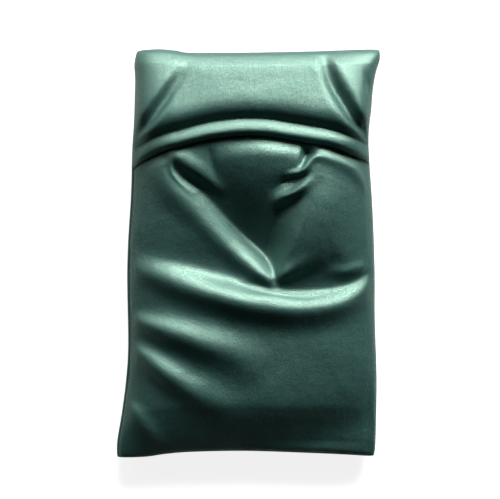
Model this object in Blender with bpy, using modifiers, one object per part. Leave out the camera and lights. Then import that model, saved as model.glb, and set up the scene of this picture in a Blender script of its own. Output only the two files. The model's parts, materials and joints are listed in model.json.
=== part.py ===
"""Eye pillow: a seed-filled cotton pouch inside a velvet envelope cover.

Metres, +Z up. The pillow lies with its envelope opening upwards. The origin is under the middle of
the pillow, on the surface it rests on. +Y points along the pillow to the end that the flap covers.

Every panel is an open outer face that Solidify thickens towards the inside. A panel's face is worked
out on a square of two parameters: u runs from -1 at the left edge to 1 at the right, and v from -1 at
the plain end to 1 at the flap's end.
"""

import math

import bmesh
import bpy
from mathutils import Vector

# Cover, measured filled and lying flat.
COVER_WIDTH = 0.1325
COVER_LENGTH = 0.2045
CROWN_RISE = 0.0125  # how far the lower panel's crown stands above its sewn edge
SEAM_HEIGHT = 0.007  # where the panels meet, above the table
SEAM_ALLOWANCE = 0.007
EDGE_FOLD = 0.003  # height of the rounded turn between a panel and its allowance

# The corners stand out and the sides pull in. Each pair is a place along the edge, from -1 to 1, and
# how far the edge lies inside the cover's rectangle there.
LEFT_EDGE = ((-1.0, 0.0), (-0.6, 0.0050), (0.0, 0.0055), (0.5, 0.0085), (1.0, 0.0098))
RIGHT_EDGE = ((-1.0, 0.0030), (-0.5, 0.0025), (0.0, 0.0035), (0.55, 0.0061), (0.85, 0.0036), (1.0, 0.0))
TOP_EDGE = ((-1.0, 0.0), (-0.5, 0.0012), (0.5, 0.0010), (1.0, 0.0))
BOTTOM_EDGE = ((-1.0, 0.0), (-0.5, 0.0030), (0.3, 0.0034), (1.0, 0.0004))

# Envelope closure.
FLAP_LENGTH = 0.0440  # from the top seam to the flap's free edge, at the middle
FLAP_ARCH = 0.0155  # how much longer the flap is at its sides
TUCK = 0.0170  # how far the lower panel runs on under the middle of the flap
HEM_WIDTH = 0.0040

# Pouch.
POUCH_ALLOWANCE = 0.005
POUCH_FOLD = 0.0015
FILL_SLACK = 0.0012  # room between the seeds and the pouch

# Cloth, thread and the gap that pieces keep from each other.
VELVET = 0.0012
COTTON = 0.0005
SEWING_THREAD = 0.0004
OVERLOCK_BEAD = 0.0012
CLEARANCE = 0.0003
EDGE_EASE = 0.0004  # spare room between the flap's sides and the lower panel's
STITCH_INSET = 0.0012  # the seam's line of stitches, in from the panel's edge
POUCH_CORNER = 0.004  # where a seam's stitches stop short of a corner

# Mesh fineness: faces across, and along the whole length.
COLUMNS = 14
ROWS = 20
THREAD_POINTS = 22
FILL_CUTS = 9
FLAT_SHARE = 0.68  # the share of the underside, each way, that lies flat on the table

SEAM_GAP = SEWING_THREAD + 2 * CLEARANCE
UPPER_SEAM_FACE = SEAM_HEIGHT + SEAM_GAP / 2
LOWER_SEAM_FACE = SEAM_HEIGHT - SEAM_GAP / 2
PANEL_EDGE_HEIGHT = UPPER_SEAM_FACE + EDGE_FOLD
LOWER_INSET = VELVET + CLEARANCE + EDGE_EASE
POUCH_INSET = SEAM_ALLOWANCE + OVERLOCK_BEAD + 2 * CLEARANCE + LOWER_INSET
FILL_INSET = POUCH_INSET + POUCH_ALLOWANCE + FILL_SLACK

# The crown falls away as 1 - |u|^3 across and 1 - |v|^4 along.
ACROSS_POWER = 3
ALONG_POWER = 4


def edge_inset(points, place):
    """The edge's inset at a place from -1 to 1, eased from each point to the next."""
    for (start, first), (end, second) in zip(points, points[1:]):
        if place <= end:
            share = min(1.0, max(0.0, (place - start) / (end - start)))
            eased = share * share * (3 - 2 * share)
            return first + (second - first) * eased
    return points[-1][1]


def plan(u, v, inset=0.0):
    """The point (x, y) at u, v on the cover seen from above, with all four edges moved in by inset."""
    left = -COVER_WIDTH / 2 + edge_inset(LEFT_EDGE, v) + inset
    right = COVER_WIDTH / 2 - edge_inset(RIGHT_EDGE, v) - inset
    bottom = -COVER_LENGTH / 2 + edge_inset(BOTTOM_EDGE, u) + inset
    top = COVER_LENGTH / 2 - edge_inset(TOP_EDGE, u) - inset
    return left + (right - left) * (u + 1) / 2, bottom + (top - bottom) * (v + 1) / 2


def crown(u, v):
    """From 0 on the sewn edges to 1 in the middle."""
    return (1 - abs(u) ** ACROSS_POWER) * (1 - abs(v) ** ALONG_POWER)


def turn_up(u, v):
    """0 where the underside lies flat, rising to 1 at its edges."""
    shares = [max(0.0, (abs(place) - FLAT_SHARE) / (1 - FLAT_SHARE)) ** 2 for place in (u, v)]
    return 1 - (1 - shares[0]) * (1 - shares[1])


def upright(distance):
    """The vertical distance that leaves this distance square to the crown where it is steepest."""
    slope = ACROSS_POWER * CROWN_RISE / (COVER_WIDTH / 2 - POUCH_INSET)
    return distance * math.hypot(1, slope)


# A hem is cloth folded double, with a thread of its stitching above and below.
HEM_THICKNESS = 2 * VELVET + CLEARANCE
SINGLE_LAYER = VELVET / HEM_THICKNESS  # a single layer's share of the hem's thickness
UNDER_HEM = upright(HEM_THICKNESS + SEWING_THREAD + 2 * CLEARANCE)
POUCH_CROWN = PANEL_EDGE_HEIGHT + CROWN_RISE - UNDER_HEM
POUCH_EDGE_HEIGHT = UPPER_SEAM_FACE + POUCH_FOLD
POUCH_UNDERSIDE = VELVET + CLEARANCE


def lower_face(u, v):
    x, y = plan(u, v, LOWER_INSET)
    return Vector((x, y, PANEL_EDGE_HEIGHT + CROWN_RISE * crown(u, v)))


def flap_face(u, v):
    x, y = plan(u, v)
    return Vector((x, y, PANEL_EDGE_HEIGHT + UNDER_HEM + CROWN_RISE * crown(u, v)))


def front_face(u, v):
    x, y = plan(u, v)
    return Vector((x, y, (LOWER_SEAM_FACE - EDGE_FOLD) * turn_up(u, v)))


def pouch_back_face(u, v):
    x, y = plan(u, v, POUCH_INSET)
    return Vector((x, y, POUCH_EDGE_HEIGHT + (POUCH_CROWN - POUCH_EDGE_HEIGHT) * crown(u, v)))


def pouch_front_face(u, v):
    x, y = plan(u, v, POUCH_INSET)
    edge = LOWER_SEAM_FACE - POUCH_FOLD
    return Vector((x, y, POUCH_UNDERSIDE + (edge - POUCH_UNDERSIDE) * turn_up(u, v)))


def flap_edge_v(u):
    """Where the flap's arched free edge crosses the column u."""
    return 1 - 2 * (FLAP_LENGTH + FLAP_ARCH * u * u) / COVER_LENGTH


def lower_edge_v():
    """Where the lower panel ends, under the flap."""
    return 1 - 2 * (FLAP_LENGTH - TUCK) / COVER_LENGTH


def clear_scene():
    for obj in list(bpy.data.objects):
        bpy.data.objects.remove(obj)


def make_material(name, colour, roughness, metallic=0.0):
    material = bpy.data.materials.new(name)
    material.use_nodes = True
    shader = material.node_tree.nodes["Principled BSDF"]
    shader.inputs["Base Color"].default_value = (*colour, 1.0)
    shader.inputs["Roughness"].default_value = roughness
    shader.inputs["Metallic"].default_value = metallic
    return material


def add_object(collection, name, data, material):
    obj = bpy.data.objects.new(name, data)
    data.materials.append(material)
    collection.objects.link(obj)
    return obj


def grid_places(columns, rows, v_range):
    """A bmesh grid and each vertex's (u, v). Columns crowd towards the edges, where the panel is steep."""
    bm = bmesh.new()
    bmesh.ops.create_grid(bm, x_segments=columns, y_segments=rows, size=1.0)
    places = {}
    for vertex in bm.verts:
        u = math.sin(vertex.co.x * math.pi / 2)
        start, end = v_range(u)
        places[vertex] = (u, start + (end - start) * (vertex.co.y + 1) / 2)
    return bm, places


def turn_edges(bm, places, sides, targets):
    """Extrudes the grid's sewn sides through one ring of new points for each target in turn."""
    edges = [e for e in bm.edges if e.is_boundary and any(side(e, places) for side in sides)]
    for target in targets:
        made = bmesh.ops.extrude_edge_only(bm, edges=edges)["geom"]
        ring = [item for item in made if isinstance(item, bmesh.types.BMVert)]
        edges = [item for item in made if isinstance(item, bmesh.types.BMEdge) and set(item.verts) <= set(ring)]
        sources = {v: next(e.other_vert(v) for e in v.link_edges if e.other_vert(v) in places) for v in ring}
        for vertex, source in sources.items():
            places[vertex] = places[source]
            vertex.co = target(*places[vertex])


def on_side(axis, value):
    """A test for boundary edges that lie along u or v (axis 0 or 1) at this value."""
    return lambda edge, places: all(abs(places[v][axis] - value) < 1e-6 for v in edge.verts)


LEFT, RIGHT, BOTTOM, TOP = on_side(0, -1), on_side(0, 1), on_side(1, -1), on_side(1, 1)


def finish_panel(collection, name, bm, material, thickness, hem=None):
    """Makes the mesh an object and thickens it inwards. hem gives each vertex's share of the thickness."""
    bmesh.ops.recalc_face_normals(bm, faces=bm.faces)
    mesh = bpy.data.meshes.new(name)
    shares = [hem[v] for v in bm.verts] if hem else []
    bm.to_mesh(mesh)
    bm.free()
    mesh.shade_smooth()
    obj = add_object(collection, name, mesh, material)
    solidify = obj.modifiers.new("thickness", "SOLIDIFY")
    solidify.thickness = max(thickness, HEM_THICKNESS if hem else 0)
    solidify.offset = -1.0
    solidify.use_even_offset = True
    if hem:
        group = obj.vertex_groups.new(name="hem")
        for index, share in enumerate(shares):
            group.add([index], share, "REPLACE")
        solidify.vertex_group = group.name
    return obj


def hem_shares(places, edge_v):
    """1 where the cloth is folded double along the free edge, else a single layer's share."""
    depth = 2 * HEM_WIDTH / COVER_LENGTH + 1e-6
    shares = {}
    for vertex, (u, v) in places.items():
        doubled = abs(v - edge_v(u)) <= depth and abs(u) < 0.999
        shares[vertex] = 1.0 if doubled else SINGLE_LAYER
    return shares


def move_row_to_hem(bm, places, edge_v, face, direction):
    """Brings the row nearest the free edge to the hem's line of stitches."""
    step = direction * 2 * HEM_WIDTH / COVER_LENGTH
    columns = {}
    for vertex, (u, v) in places.items():
        columns.setdefault(round(u, 6), []).append((abs(v - edge_v(u)), vertex))
    for column in columns.values():
        vertex = sorted(column, key=lambda item: item[0])[1][1]
        u = places[vertex][0]
        places[vertex] = (u, edge_v(u) + step)
    for vertex, (u, v) in places.items():
        vertex.co = face(u, v)


def front_panel(collection, material):
    """The velvet panel on the pillow's good side, which lies on the table here."""
    bm, places = grid_places(COLUMNS, ROWS, lambda u: (-1.0, 1.0))
    for vertex, (u, v) in places.items():
        vertex.co = front_face(u, v)

    def seam(u, v):
        return Vector((*plan(u, v), LOWER_SEAM_FACE))

    def allowance(u, v):
        return Vector((*plan(u, v, SEAM_ALLOWANCE), LOWER_SEAM_FACE))

    turn_edges(bm, places, [LEFT, RIGHT, BOTTOM, TOP], [seam, allowance])
    return finish_panel(collection, "front_panel", bm, material, VELVET)


def lower_panel(collection, material):
    """The long velvet panel of the envelope side, whose hemmed end is tucked under the flap."""
    end = lower_edge_v()
    bm, places = grid_places(COLUMNS, ROWS - 4, lambda u: (-1.0, end))
    move_row_to_hem(bm, places, lambda u: end, lower_face, -1)
    shares = hem_shares(places, lambda u: end)

    def seam(u, v):
        return Vector((*plan(u, v, LOWER_INSET), UPPER_SEAM_FACE))

    def allowance(u, v):
        return Vector((*plan(u, v, LOWER_INSET + SEAM_ALLOWANCE), UPPER_SEAM_FACE))

    turn_edges(bm, places, [LEFT, RIGHT, BOTTOM], [seam, allowance])
    hem = {v: shares.get(v, SINGLE_LAYER) for v in bm.verts}
    return finish_panel(collection, "lower_panel", bm, material, VELVET, hem)


def flap_panel(collection, material):
    """The short velvet panel that closes the envelope. Its free edge is an arch."""
    bm, places = grid_places(COLUMNS, 6, lambda u: (flap_edge_v(u), 1.0))
    move_row_to_hem(bm, places, flap_edge_v, flap_face, 1)
    shares = hem_shares(places, flap_edge_v)

    def seam(u, v):
        return Vector((*plan(u, v), UPPER_SEAM_FACE))

    def allowance(u, v):
        return Vector((*plan(u, v, SEAM_ALLOWANCE), UPPER_SEAM_FACE))

    turn_edges(bm, places, [LEFT, RIGHT, TOP], [seam])
    turn_edges(bm, places, [TOP], [allowance])
    hem = {v: shares.get(v, SINGLE_LAYER) for v in bm.verts}
    return finish_panel(collection, "flap_panel", bm, material, VELVET, hem)


def pouch_panel(collection, name, material, face, seam_face):
    """One of the pouch's two cotton panels, with its allowances turned in."""
    bm, places = grid_places(COLUMNS - 2, ROWS - 4, lambda u: (-1.0, 1.0))
    for vertex, (u, v) in places.items():
        vertex.co = face(u, v)

    def seam(u, v):
        return Vector((*plan(u, v, POUCH_INSET), seam_face))

    def allowance(u, v):
        return Vector((*plan(u, v, POUCH_INSET + POUCH_ALLOWANCE), seam_face))

    turn_edges(bm, places, [LEFT, RIGHT, BOTTOM, TOP], [seam, allowance])
    return finish_panel(collection, name, bm, material, COTTON)


def seed_fill(collection, material):
    """The loose seeds as one body, shaped by the pouch round them."""
    bm = bmesh.new()
    bmesh.ops.create_cube(bm, size=2.0)
    bmesh.ops.subdivide_edges(bm, edges=bm.edges, cuts=FILL_CUTS, use_grid_fill=True)
    across = (COVER_WIDTH / 2 - FILL_INSET) / (COVER_WIDTH / 2 - POUCH_INSET)
    along = (COVER_LENGTH / 2 - FILL_INSET) / (COVER_LENGTH / 2 - POUCH_INSET)
    room = upright(COTTON + FILL_SLACK)
    for vertex in bm.verts:
        u, v = (math.sin(place * math.pi / 2) for place in vertex.co.xy)
        low = pouch_front_face(u * across, v * along).z + room
        high = pouch_back_face(u * across, v * along).z - room
        vertex.co = Vector((*plan(u, v, FILL_INSET), low + (high - low) * (vertex.co.z + 1) / 2))
    mesh = bpy.data.meshes.new("seed_fill")
    bm.to_mesh(mesh)
    bm.free()
    mesh.shade_smooth()
    return add_object(collection, "seed_fill", mesh, material)


def run_of_thread(collection, name, material, diameter, place, start, end, points=THREAD_POINTS):
    """A line of thread that follows place(t) from t = start to t = end."""
    curve = bpy.data.curves.new(name, "CURVE")
    curve.dimensions = "3D"
    curve.bevel_depth = diameter / 2
    curve.bevel_resolution = 1
    curve.use_fill_caps = True
    spline = curve.splines.new("POLY")
    spline.points.add(points - 1)
    for index, point in enumerate(spline.points):
        t = start + (end - start) * index / (points - 1)
        point.co = (*place(t), 1.0)
    return add_object(collection, name, curve, material)


def perimeter_threads(collection, prefix, material, diameter, inset, height, sides):
    """Straight runs along the named sides, each stopping short of the corners."""
    stop = 1 - 2 * (inset + 2 * diameter + STITCH_INSET) / COVER_WIDTH
    paths = {
        "left": lambda t: (*plan(-1, t, inset), height),
        "right": lambda t: (*plan(1, t, inset), height),
        "bottom": lambda t: (*plan(t, -1, inset), height),
        "top": lambda t: (*plan(t, 1, inset), height),
    }
    for side in sides:
        run_of_thread(collection, f"{side}_{prefix}", material, diameter, paths[side], -stop, stop)


def hem_threads(collection, name, material, face, edge_v, direction):
    """The needle thread on a hem's outer side and the bobbin thread on its inner side."""
    radius = SEWING_THREAD / 2
    step = direction * 2 * (HEM_WIDTH / 2) / COVER_LENGTH
    reach = 1 - 2 * (SEAM_ALLOWANCE + LOWER_INSET) / COVER_WIDTH

    def over(t):
        return face(t, edge_v(t) + step) + Vector((0, 0, upright(CLEARANCE + radius)))

    def under(t):
        drop = upright(HEM_THICKNESS + CLEARANCE + radius)
        return face(t, edge_v(t) + step) - Vector((0, 0, drop))

    run_of_thread(collection, f"{name}_needle_thread", material, SEWING_THREAD, over, -reach, reach)
    run_of_thread(collection, f"{name}_bobbin_thread", material, SEWING_THREAD, under, -reach, reach)


def pouch_threads(collection, seam_material, closing_material):
    """The machine seam round three sides of the pouch, and the hand stitching that closes the fourth."""
    inset = POUCH_INSET + STITCH_INSET
    stop = 1 - 2 * POUCH_CORNER / (COVER_WIDTH - 2 * inset)

    def three_sides(t):
        """t runs from 0 to 3: down the left side, along the plain end and up the right side."""
        side = min(int(t), 2)
        along = 2 * (t - side) - 1
        u, v = ((-1, -along), (along, -1), (1, along))[side]
        reach = 1 if side == 1 or v < 0 else stop
        return (*plan(u, v * reach, inset), SEAM_HEIGHT)

    points = 3 * THREAD_POINTS // 2 + 1
    run_of_thread(
        collection, "pouch_seam_thread", seam_material, SEWING_THREAD, three_sides, 0, 3, points
    )
    run_of_thread(
        collection, "pouch_closing_thread", closing_material, SEWING_THREAD,
        lambda t: (*plan(t, 1, inset), SEAM_HEIGHT), -stop, stop,
    )


def build():
    clear_scene()
    collection = bpy.data.collections.new("eye_pillow")
    bpy.context.scene.collection.children.link(collection)
    velvet = make_material("green_velvet", (0.045, 0.19, 0.15), 0.75)
    cotton = make_material("natural_cotton", (0.80, 0.76, 0.66), 0.9)
    seeds = make_material("flax_seed", (0.26, 0.13, 0.06), 0.55)
    green_thread = make_material("green_thread", (0.03, 0.12, 0.09), 0.6)
    pale_thread = make_material("pale_thread", (0.82, 0.80, 0.72), 0.7)

    front_panel(collection, velvet)
    lower_panel(collection, velvet)
    flap_panel(collection, velvet)
    pouch_panel(collection, "pouch_back_panel", cotton, pouch_back_face, UPPER_SEAM_FACE)
    pouch_panel(collection, "pouch_front_panel", cotton, pouch_front_face, LOWER_SEAM_FACE)
    seed_fill(collection, seeds)

    sides = ("left", "right", "bottom", "top")
    perimeter_threads(
        collection, "seam_thread", green_thread, SEWING_THREAD,
        LOWER_INSET + STITCH_INSET, SEAM_HEIGHT, sides,
    )
    perimeter_threads(
        collection, "overlock_thread", green_thread, OVERLOCK_BEAD,
        LOWER_INSET + SEAM_ALLOWANCE + CLEARANCE + OVERLOCK_BEAD / 2, SEAM_HEIGHT, sides,
    )
    hem_threads(collection, "flap_hem", green_thread, flap_face, flap_edge_v, 1)
    hem_threads(collection, "lower_hem", green_thread, lower_face, lambda u: lower_edge_v(), -1)
    pouch_threads(collection, pale_thread, pale_thread)


build()
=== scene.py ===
# %% [markdown]
# # An eye pillow with a velvet envelope cover
# The pillow is a cotton pouch of flax seed inside a cover of silk velvet. The cover lies on its good
# side, so the envelope side is up: a short flap with a rolled hem overlaps one long panel. The solids
# of the frame say where each piece is. This lesson gives each of them its cloth, folds and stitches.

# %% Load the frame
import json
import math

import bpy
import numpy as np
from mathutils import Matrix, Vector


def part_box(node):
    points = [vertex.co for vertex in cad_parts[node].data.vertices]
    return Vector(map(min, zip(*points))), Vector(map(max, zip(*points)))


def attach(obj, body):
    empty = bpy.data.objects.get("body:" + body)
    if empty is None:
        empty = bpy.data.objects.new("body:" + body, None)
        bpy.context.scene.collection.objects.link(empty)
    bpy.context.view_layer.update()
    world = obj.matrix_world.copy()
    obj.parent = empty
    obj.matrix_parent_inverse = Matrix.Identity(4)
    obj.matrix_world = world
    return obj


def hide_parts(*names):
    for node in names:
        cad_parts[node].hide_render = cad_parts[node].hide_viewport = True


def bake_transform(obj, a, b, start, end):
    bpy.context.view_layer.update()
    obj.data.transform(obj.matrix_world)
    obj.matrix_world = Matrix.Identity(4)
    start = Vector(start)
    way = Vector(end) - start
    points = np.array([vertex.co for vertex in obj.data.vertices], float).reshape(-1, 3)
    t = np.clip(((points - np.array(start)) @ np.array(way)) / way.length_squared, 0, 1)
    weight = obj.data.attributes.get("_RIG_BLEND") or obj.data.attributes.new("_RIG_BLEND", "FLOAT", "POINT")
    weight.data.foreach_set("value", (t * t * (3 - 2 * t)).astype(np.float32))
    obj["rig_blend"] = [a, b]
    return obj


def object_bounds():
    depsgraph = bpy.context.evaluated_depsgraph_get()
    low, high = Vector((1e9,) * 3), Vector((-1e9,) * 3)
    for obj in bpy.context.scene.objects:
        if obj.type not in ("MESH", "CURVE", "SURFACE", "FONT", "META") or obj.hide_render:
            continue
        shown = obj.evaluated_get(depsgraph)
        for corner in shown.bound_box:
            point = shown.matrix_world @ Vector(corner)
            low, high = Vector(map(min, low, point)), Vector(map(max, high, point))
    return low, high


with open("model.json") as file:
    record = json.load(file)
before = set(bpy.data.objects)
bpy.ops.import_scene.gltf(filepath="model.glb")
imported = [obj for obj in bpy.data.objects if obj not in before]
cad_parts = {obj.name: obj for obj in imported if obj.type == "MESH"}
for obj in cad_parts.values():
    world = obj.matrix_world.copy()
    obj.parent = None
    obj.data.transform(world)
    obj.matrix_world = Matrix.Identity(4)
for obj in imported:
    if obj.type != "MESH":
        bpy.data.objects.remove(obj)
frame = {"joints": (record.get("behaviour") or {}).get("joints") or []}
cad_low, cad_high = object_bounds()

# %% [markdown]
# ## Measures
# A sewing pattern is drawn in millimetres, so the whole lesson is too, and only the last step of
# making a mesh turns them into metres. The outline of the cover, the height of its seam and the place
# of the flap come from the frame's solids.

# %% Sizes from the frame
MM = 0.001
HALF_WIDTH = cad_high.x / MM
HALF_LENGTH = cad_high.y / MM
SEAM = frame["joints"][0]["pos_m"][2] / MM  # where the panels meet, above the table
TOP_OF_CROWN = cad_high.z / MM
VELVET = 1.0  # thickness of the cloth and its pile
LOWER_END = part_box("lower_panel")[1].y / MM  # the lower panel's own hem, under the flap
HEM_BELOW_THREAD = 1.7  # from the top of the needle thread's solid down to the flap's free edge
FLAP_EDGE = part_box("flap_hem_needle_thread")[1].y / MM - HEM_BELOW_THREAD  # in its middle
print(f"cover {2 * HALF_WIDTH:.1f} x {2 * HALF_LENGTH:.1f} mm, its seam {SEAM:.1f} above the table")
print(f"flap's edge at {FLAP_EDGE:.1f}, the long panel's end at {LOWER_END:.1f}")

# %% [markdown]
# ## Smooth curves through a few points
# A Catmull-Rom curve passes through every point it is given and turns softly between them, as a
# flexible ruler does. The outline and every fold of the cloth are such curves, so that each one needs
# only as many points as its shape has turns.


# %% Curves
def smooth_path(points, count):
    """Catmull-Rom: half of (2b + (c - a) f + (2a - 5b + 4c - d) f^2 + (3b - a - 3c + d) f^3), for
    the four points a, b, c and d round each stretch and f from 0 to 1 along it."""
    points = np.asarray(points, float)
    ends = np.vstack([2 * points[:1] - points[1:2], points, 2 * points[-1:] - points[-2:-1]])
    t = np.linspace(0, len(points) - 1 - 1e-9, count)
    i = t.astype(int)
    f = (t - i)[:, None]
    a, b, c, d = ends[i], ends[i + 1], ends[i + 2], ends[i + 3]
    return 0.5 * (
        2 * b + (c - a) * f + (2 * a - 5 * b + 4 * c - d) * f**2 + (3 * b - a - 3 * c + d) * f**3
    )


def read_curve(points, place):
    """The second number of the points, read at any place along their first number."""
    path = smooth_path(points, 400)
    return np.interp(place, path[:, 0], path[:, 1])


def ease(t):
    """0 up to 0, 1 from 1 on, and 3t^2 - 2t^3 between."""
    t = np.clip(t, 0, 1)
    return t * t * (3 - 2 * t)


# %% [markdown]
# ## The outline
# A filled cover pulls its sides in and leaves its corners standing out. Each edge is a list of places
# along it, from -1 to 1, with how far the cloth lies inside the rectangle there.

# %% Edges
LEFT_EDGE = [
    (-1, 0.0), (-0.91, 0.6), (-0.78, 2.8), (-0.61, 5.0), (-0.44, 6.0), (-0.13, 5.5), (0.07, 6.0),
    (0.29, 7.4), (0.51, 8.0), (0.65, 8.9), (0.85, 9.5), (0.93, 9.0), (1, 10.0),
]
RIGHT_EDGE = [
    (-1, 2.9), (-0.88, 2.5), (-0.61, 2.1), (-0.32, 3.0), (-0.13, 3.0), (0.07, 3.5), (0.26, 4.4),
    (0.46, 5.8), (0.59, 6.1), (0.70, 4.9), (0.80, 4.0), (0.88, 2.6), (0.95, 0.4), (1, 0.2),
]
BOTTOM_EDGE = [
    (-1, 0.0), (-0.79, 0.4), (-0.63, 1.8), (-0.42, 2.9), (0, 3.4), (0.48, 2.4), (0.79, 1.5), (1, 0.6),
]
TOP_EDGE = [
    (-1, 0.6), (-0.82, 0.0), (-0.68, 0.7), (-0.54, 1.8), (0, 1.6), (0.48, 1.0), (0.7, 0.5), (1, 0.0),
]
CORNER_POWER = 40
CORNER_PULL = (0.010, 0.006)  # how far a corner comes in, as a share of the half width and half length


def side_at(y, side):
    """Where the left (-1) or right (1) edge lies at the height y of the plan."""
    edge = LEFT_EDGE if side < 0 else RIGHT_EDGE
    return side * (HALF_WIDTH - read_curve(edge, y / HALF_LENGTH))


def end_at(x, end):
    """Where the bottom (-1) or top (1) edge lies at the place x of the plan."""
    edge = BOTTOM_EDGE if end < 0 else TOP_EDGE
    return end * (HALF_LENGTH - read_curve(edge, x / HALF_WIDTH))


def plan(u, v):
    """Places on the cover seen from above, for u across and v along from -1 to 1. Each edge is met at
    its own end of the range, and a term in (u v)^40 rounds the four corners and nothing else."""
    corner = np.abs(u * v) ** CORNER_POWER
    u = u * (1 - CORNER_PULL[0] * corner)
    v = v * (1 - CORNER_PULL[1] * corner)
    left, right = side_at(v * HALF_LENGTH, -1), side_at(v * HALF_LENGTH, 1)
    bottom, top = end_at(u * HALF_WIDTH, -1), end_at(u * HALF_WIDTH, 1)
    return left + (right - left) * (u + 1) / 2, bottom + (top - bottom) * (v + 1) / 2


print("corners", [tuple(round(float(c), 1) for c in plan(u, v)) for u in (-1, 1) for v in (-1, 1)])

# %% [markdown]
# ## The crown
# Seed settles, so the pillow is highest where it is held tight, near the flap's edge, and slopes
# slowly to the plain end. Across, the cloth rises steeply from the seam and then is nearly flat. A
# square root gives that upright start. Along, a short curve says what share of the height is left.

# %% Crown
ROLL = 1.5  # radius of the cloth's turn into the seam
FOLD_ROOM = 2.6  # what the folds may add to the crown
CROWN = TOP_OF_CROWN - SEAM - ROLL - FOLD_ROOM
ROUND, TIGHTER = 3.4, 10.0  # the crown's power under the long panel, and what the flap adds to it
CROWN_ALONG = [
    (-1, 0), (-0.99, 0.13), (-0.96, 0.25), (-0.90, 0.43), (-0.80, 0.65), (-0.72, 0.75), (-0.5, 0.82),
    (-0.2, 0.86), (0.1, 0.92), (0.35, 0.99), (0.5, 1.0), (0.60, 0.99), (0.68, 0.955), (0.76, 0.875),
    (0.84, 0.765), (0.92, 0.62), (0.97, 0.43), (0.99, 0.24), (1, 0),
]


def crown(u, v):
    """seam height + roll + CROWN * sqrt(1 - |u|^n) * the share along v, where n is ROUND under the
    long panel and grows by TIGHTER under the flap, which is tighter and so flatter across."""
    power = ROUND + TIGHTER * ease((v - 0.45) / 0.25)
    across = np.sqrt(1 - np.minimum(np.abs(u), 1) ** power)
    return SEAM + ROLL + CROWN * across * read_curve(CROWN_ALONG, np.clip(v, -1, 1)).clip(0)


def inner_share(u, v, reach=0.07):
    """1 well inside the cover, falling to 0 at its edges."""
    return ease((1 - np.maximum(np.abs(u), np.abs(v))) / reach)


# %% [markdown]
# ## Folds
# A fold is a ridge or a valley along a curve. Each of its points has a place, a height and a width to
# the left and to the right of the way it runs, so that one side can be steep and the other soft, as
# cloth that slumps over seed is. Its cross-section is the bell height * exp(-(distance / width)^2).
# A point of the cloth reads the curve through an average weighted by nearness. That keeps the fold
# smooth where the curve bends, and a plain nearest point would leave a crease there.


# %% Fold
FOLD_SAMPLES = 90
FOLD_BLUR = 2.2  # how near a point of the curve must be to count
FOLD_REACH = 2.6  # in widths, past which a fold adds nothing


def fold(x, y, points, power=2.0):
    """height * exp(-(d / width)^power), with d the distance to the path's weighted near point."""
    path = smooth_path(points, FOLD_SAMPLES)
    heading = np.gradient(path[:, :2], axis=0)
    place = np.stack([x.ravel(), y.ravel()], axis=1)
    reach = FOLD_REACH * path[:, 3:].max()
    near = ((place > path[:, :2].min(0) - reach) & (place < path[:, :2].max(0) + reach)).all(1)
    place = place[near]
    square = (place[:, :1] - path[:, 0]) ** 2 + (place[:, 1:] - path[:, 1]) ** 2
    weight = np.exp((square.min(1, keepdims=True) - square) / FOLD_BLUR**2)
    weight /= weight.sum(1, keepdims=True)
    mean = weight @ np.hstack([path, heading])
    off = place - mean[:, :2]
    side = mean[:, 5] * off[:, 1] - mean[:, 6] * off[:, 0]
    width = np.where(side > 0, mean[:, 3], mean[:, 4])
    rise = np.zeros(x.size)
    rise[near] = mean[:, 2] * np.exp(-(np.sqrt((off**2).sum(1) + 0.1) / width) ** power)
    return rise.reshape(x.shape)


def folds(x, y, table, power=2.0):
    """The sum of the folds in a table."""
    return sum(fold(x, y, points, power) for points in table.values())


# %% [markdown]
# ## The folds of the long panel
# The panel is slack where the pouch ends under the flap. It sinks into a tongue there, and the slack
# gathers in one knot near the middle. A strong ridge runs to the knot from each side of the tongue,
# and a crescent of pushed-up cloth and seed lies across below it. Smaller ridges fan out from the left
# seam. Each row is x, y, height, width on the left and width on the right, in millimetres.

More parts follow.
